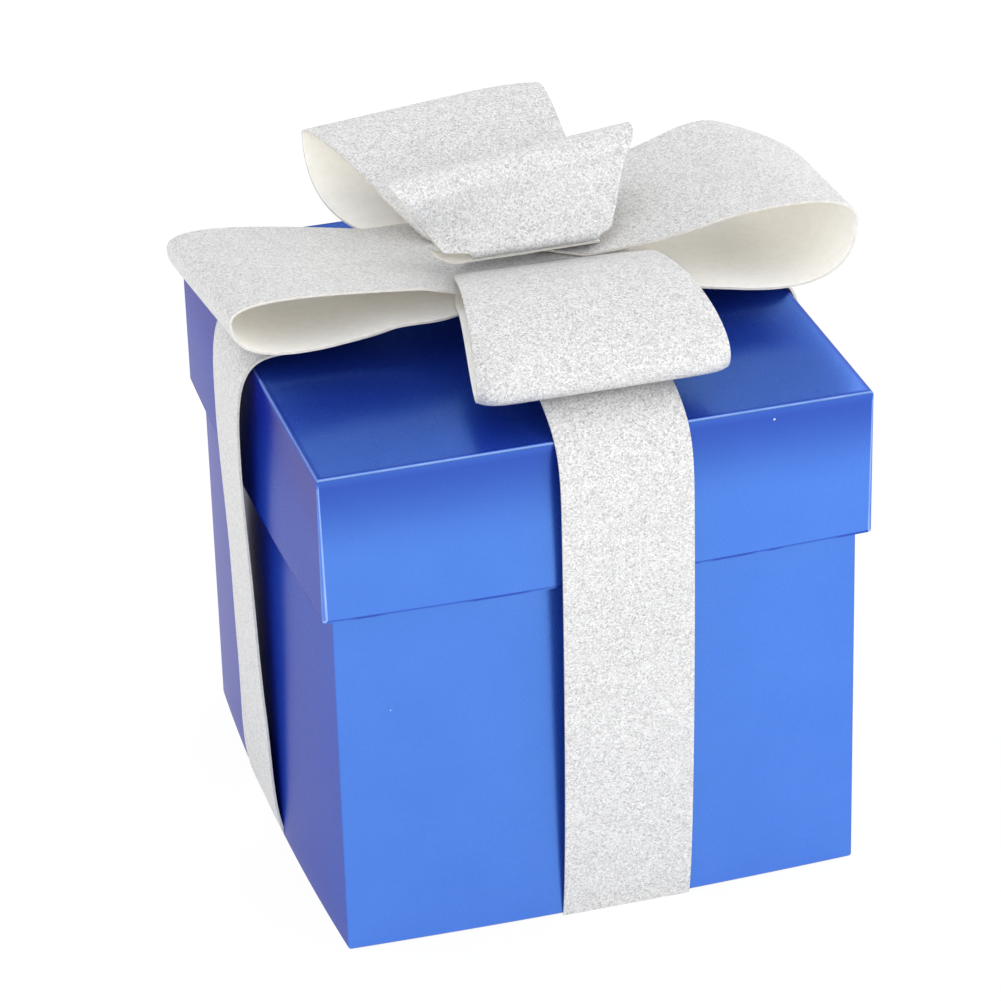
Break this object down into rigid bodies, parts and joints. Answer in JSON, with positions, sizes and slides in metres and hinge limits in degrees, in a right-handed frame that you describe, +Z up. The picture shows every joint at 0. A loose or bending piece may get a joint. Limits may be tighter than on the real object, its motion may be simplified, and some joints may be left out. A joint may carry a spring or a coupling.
{
  "type": "gift box",
  "caption": "Square folded-card gift box with a lift-off lid and a slip-on cage of glitter-card ribbon strips topped by a looped bow.",
  "frame": {"origin": "middle of the underside of the base", "axes": "+X to the right along the front wall, +Y from the front wall to the back wall, +Z up"},
  "size_m": [0.1212, 0.1126, 0.1336],
  "materials": {
    "blue_card": "pearl satin",
    "glitter_card": "silver glitter on one side, plain cream card on the other",
    "clear_glue": "dry white glue",
    "film_tape": "double-sided tape",
    "foam_tape": "white double-sided foam"
  },
  "bodies": {
    "base": {"base_box": "blue_card", "base_tab_glue": "clear_glue"},
    "lid": {"lid": "blue_card", "lid_tab_glue": "clear_glue"},
    "ribbon": {"ribbon_side_strip": "glitter_card", "ribbon_front_strip": "glitter_card", "ribbon_cross_foam": "foam_tape", "bow_seat_tape": "film_tape", "bow_loop_left": "glitter_card", "bow_loop_right": "glitter_card", "bow_loop_front": "glitter_card", "bow_loop_back": "glitter_card", "bow_centre_loop": "glitter_card", "lower_tail_tape": "film_tape", "left_tail_tape": "film_tape", "upper_tail_foam": "foam_tape", "right_tail_tape": "film_tape", "centre_loop_foam": "foam_tape", "centre_loop_tape": "foam_tape", "centre_lap_tape": "film_tape"}
  },
  "joints": [
    {"name": "lid_lift", "type": "slide", "parent": "base", "child": "lid", "axis": [0, 0, 1], "range_m": [0, 0.12]},
    {"name": "ribbon_lift", "type": "slide", "parent": "lid", "child": "ribbon", "axis": [0, 0, 1], "range_m": [0, 0.12]}
  ]
}
